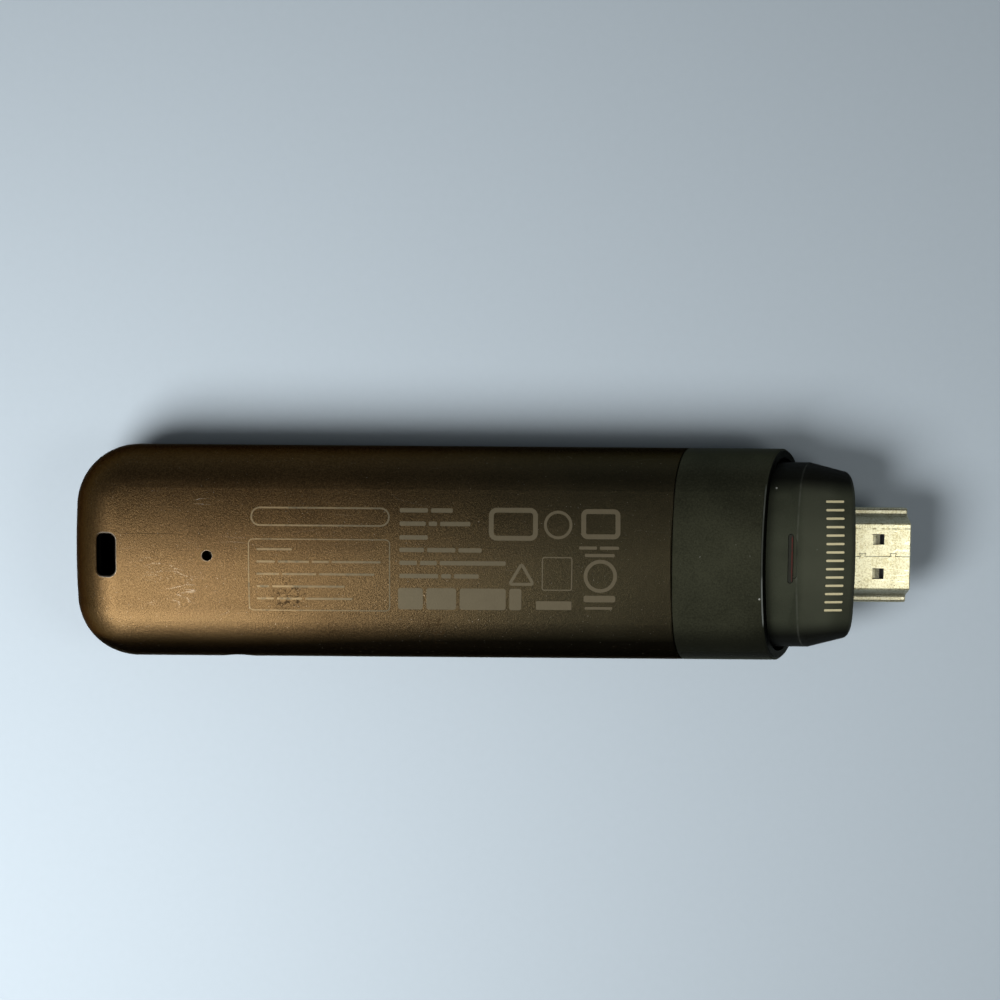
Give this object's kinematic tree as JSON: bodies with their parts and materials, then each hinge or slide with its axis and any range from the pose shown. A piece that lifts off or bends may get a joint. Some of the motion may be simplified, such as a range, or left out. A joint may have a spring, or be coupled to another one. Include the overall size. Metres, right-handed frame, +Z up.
{
  "type": "hdmi stick computer",
  "caption": "Slim rounded stick computer with a display plug at one end, a socket in the closed end, a power jack in the side and a recessed recovery button.",
  "frame": {"origin": "on the resting plane under the middle of the overall length", "axes": "+X along the stick from the closed end to the plug, +Z up out of the crowned label side"},
  "size_m": [0.1212, 0.031, 0.017],
  "materials": {
    "bronze_aluminium": "satin",
    "bronze_plastic": "satin",
    "black_plastic": "matte",
    "white_plastic": "matte",
    "clear_plastic": "gloss",
    "dark_insulator": "satin",
    "plug_plating": "satin",
    "socket_steel": "satin",
    "contact_gold": "polished",
    "spring_steel": "satin",
    "shield_tin": "satin",
    "spreader_aluminium": "satin",
    "circuit_board": "satin",
    "chip_epoxy": "matte",
    "ceramic_body": "satin",
    "tantalum_body": "matte",
    "thermal_pad": "matte",
    "gasket_foam": "matte",
    "film": "satin",
    "cable_jacket": "satin"
  },
  "bodies": {
    "stick": {"body_shell": "bronze_aluminium", "antenna_collar": "bronze_plastic", "connector_head": "black_plastic", "cap_catch": "black_plastic", "hdmi_plug_shell": "plug_plating", "hdmi_insulator": "dark_insulator", "hdmi_contacts": "contact_gold", "plug_gasket": "gasket_foam", "main_board": "circuit_board", "chassis_tray": "dark_insulator", "insulating_film": "film", "board_screws": "spring_steel", "soc_chip": "chip_epoxy", "memory_chips": "chip_epoxy", "shield_frame": "shield_tin", "shield_lid": "shield_tin", "soc_pad": "thermal_pad", "lid_pad": "thermal_pad", "heat_spreader": "spreader_aluminium", "storage_chip": "chip_epoxy", "power_chip": "chip_epoxy", "flash_chip": "chip_epoxy", "tantalum_capacitors": "tantalum_body", "chip_capacitors": "ceramic_body", "status_led": "white_plastic", "light_pipe": "clear_plastic", "power_inductors": "chip_epoxy", "crystals": "shield_tin", "driver_chip": "chip_epoxy", "radio_module": "circuit_board", "radio_can": "shield_tin", "coax_sockets": "contact_gold", "antenna_left": "spring_steel", "antenna_right": "spring_steel", "coax_lead_left": "cable_jacket", "coax_lead_right": "cable_jacket", "recovery_switch_case": "dark_insulator", "recovery_dome": "spring_steel", "dc_jack_body": "dark_insulator", "dc_jack_pin": "contact_gold", "dc_jack_leaf": "spring_steel", "usb_socket_shell": "socket_steel", "usb_contacts": "contact_gold", "usb_tongue": "dark_insulator", "lock_plate": "spring_steel"},
    "recovery_button": {"recovery_plunger": "white_plastic"}
  },
  "joints": [
    {"name": "recovery_press", "type": "slide", "parent": "stick", "child": "recovery_button", "axis": [0, 0, -1], "range_m": [0, 0.00025], "stiffness_N_per_m": 600}
  ]
}
